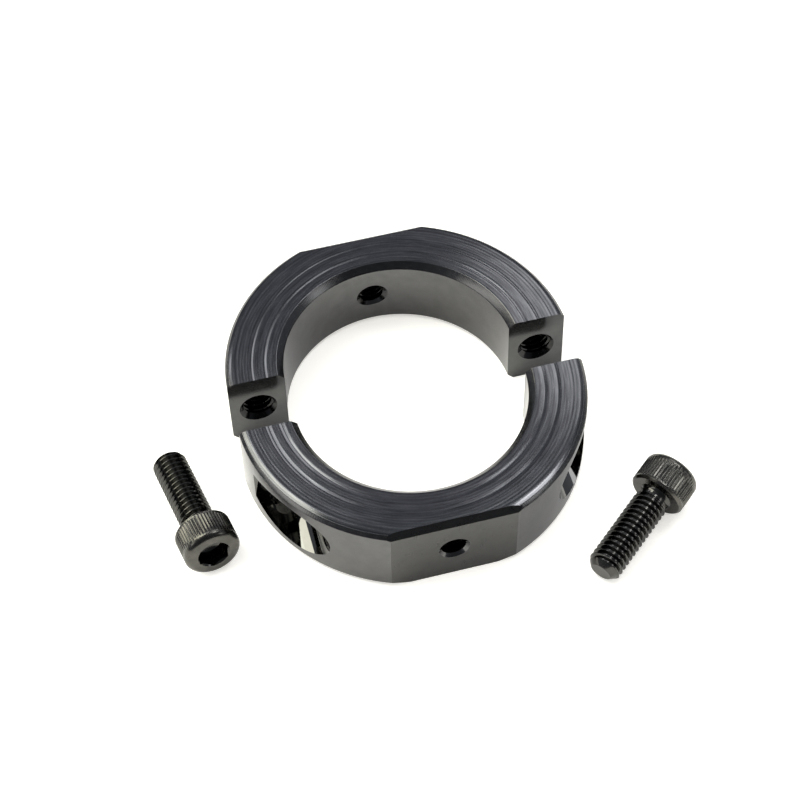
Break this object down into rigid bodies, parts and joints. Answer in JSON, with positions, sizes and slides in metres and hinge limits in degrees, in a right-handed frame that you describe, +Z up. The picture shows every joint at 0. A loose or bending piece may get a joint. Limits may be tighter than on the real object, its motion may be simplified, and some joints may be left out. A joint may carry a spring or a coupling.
{
  "type": "two-piece shaft collar",
  "caption": "Black-oxide two-piece clamping shaft collar, taken apart: half rings with flats across their backs, and the loose socket head screws that draw them together on a shaft.",
  "frame": {"origin": "on the bore axis of the front half, at the middle of the collar's width", "axes": "+X along the parting line, +Y along the clamp screws from the front half towards the rear half, +Z up along the bore"},
  "size_m": [0.0883, 0.073, 0.015],
  "materials": {
    "black_oxide": "turned steel, black oxide, satin",
    "screw_black": "alloy steel, black oxide, knurled head"
  },
  "bodies": {
    "front": {"front_half": "black_oxide", "left_screw": "screw_black", "right_screw": "screw_black"},
    "rear": {"rear_half": "black_oxide"}
  },
  "joints": [
    {"name": "close", "type": "slide", "parent": "front", "child": "rear", "axis": [0, -1, 0], "range_m": [0, 0.0071]}
  ]
}
